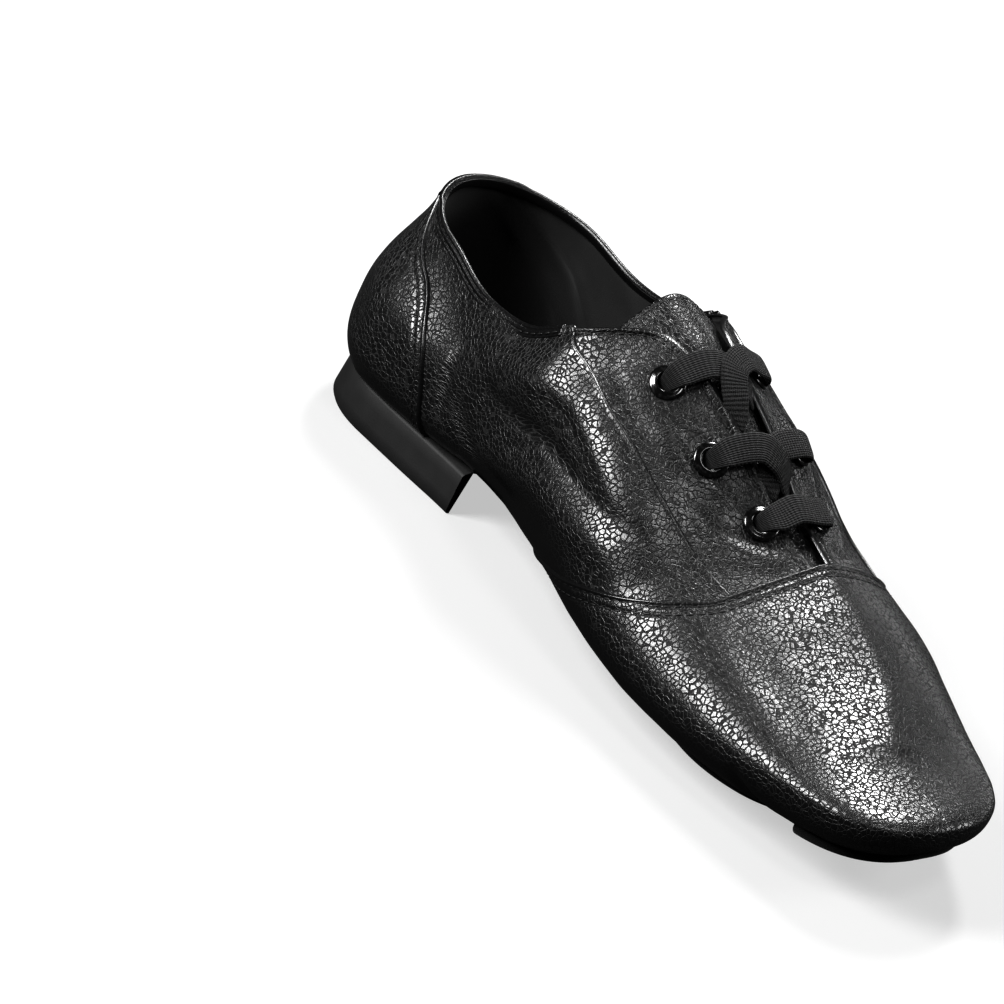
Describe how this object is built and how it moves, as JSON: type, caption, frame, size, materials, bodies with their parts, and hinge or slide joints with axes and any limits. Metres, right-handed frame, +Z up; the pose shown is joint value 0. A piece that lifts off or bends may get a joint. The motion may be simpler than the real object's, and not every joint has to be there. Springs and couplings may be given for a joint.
{
  "type": "jazz shoe",
  "caption": "Left jazz shoe in soft black leather, laced over the instep, with a rubber heel block and suede pads under the ball and the toes.",
  "frame": {"origin": "on the floor, under the middle of the shoe's own length and width", "axes": "+Z up from the floor, -Y towards the toe and +Y towards the heel, -X to the medial side and +X to the lateral side"},
  "size_m": [0.0852, 0.2458, 0.078],
  "materials": {
    "black_leather": "glossy pebble grain",
    "edge_leather": "smooth, half gloss",
    "insole_cloth": "matt",
    "heel_rubber": "matt",
    "pad_suede": "suede nap",
    "eyelet_metal": "black gloss",
    "lace_cotton": "flat weave"
  },
  "bodies": {
    "root": {"upper": "black_leather", "collar_binding": "edge_leather", "tongue": "black_leather", "insole": "insole_cloth", "heel": "heel_rubber", "ball_pad": "pad_suede", "toe_pad": "pad_suede", "eyelet_medial_top": "eyelet_metal", "eyelet_medial_middle": "eyelet_metal", "eyelet_medial_bottom": "eyelet_metal", "eyelet_lateral_top": "eyelet_metal", "eyelet_lateral_middle": "eyelet_metal", "eyelet_lateral_bottom": "eyelet_metal", "lace_bar": "lace_cotton", "lace_cross_top": "lace_cotton", "lace_cross_middle": "lace_cotton"}
  },
  "joints": []
}
